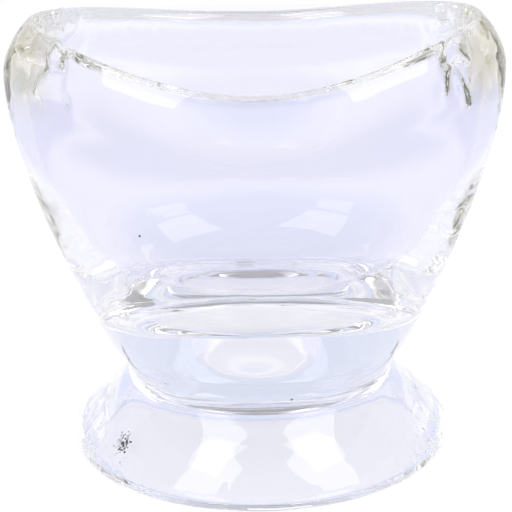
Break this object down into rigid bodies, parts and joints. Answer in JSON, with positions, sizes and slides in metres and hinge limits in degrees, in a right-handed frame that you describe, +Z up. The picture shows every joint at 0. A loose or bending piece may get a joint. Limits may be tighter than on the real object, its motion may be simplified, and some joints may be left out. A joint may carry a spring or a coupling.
{
  "type": "eye bath",
  "caption": "Clear glass eye bath: oval bowl with a saddle-shaped rolled lip on a waisted solid stem and a flared hollow foot.",
  "frame": {"origin": "centre of the ring that the foot stands on", "axes": "+Z up along the stem, X across the two raised horns of the lip, Y from the front dip of the lip to the back one"},
  "size_m": [0.052, 0.04, 0.0469],
  "materials": {
    "clear_glass": "clear pressed glass, fire polished"
  },
  "bodies": {
    "root": {"bowl": "clear_glass", "stem": "clear_glass", "foot": "clear_glass"}
  },
  "joints": []
}
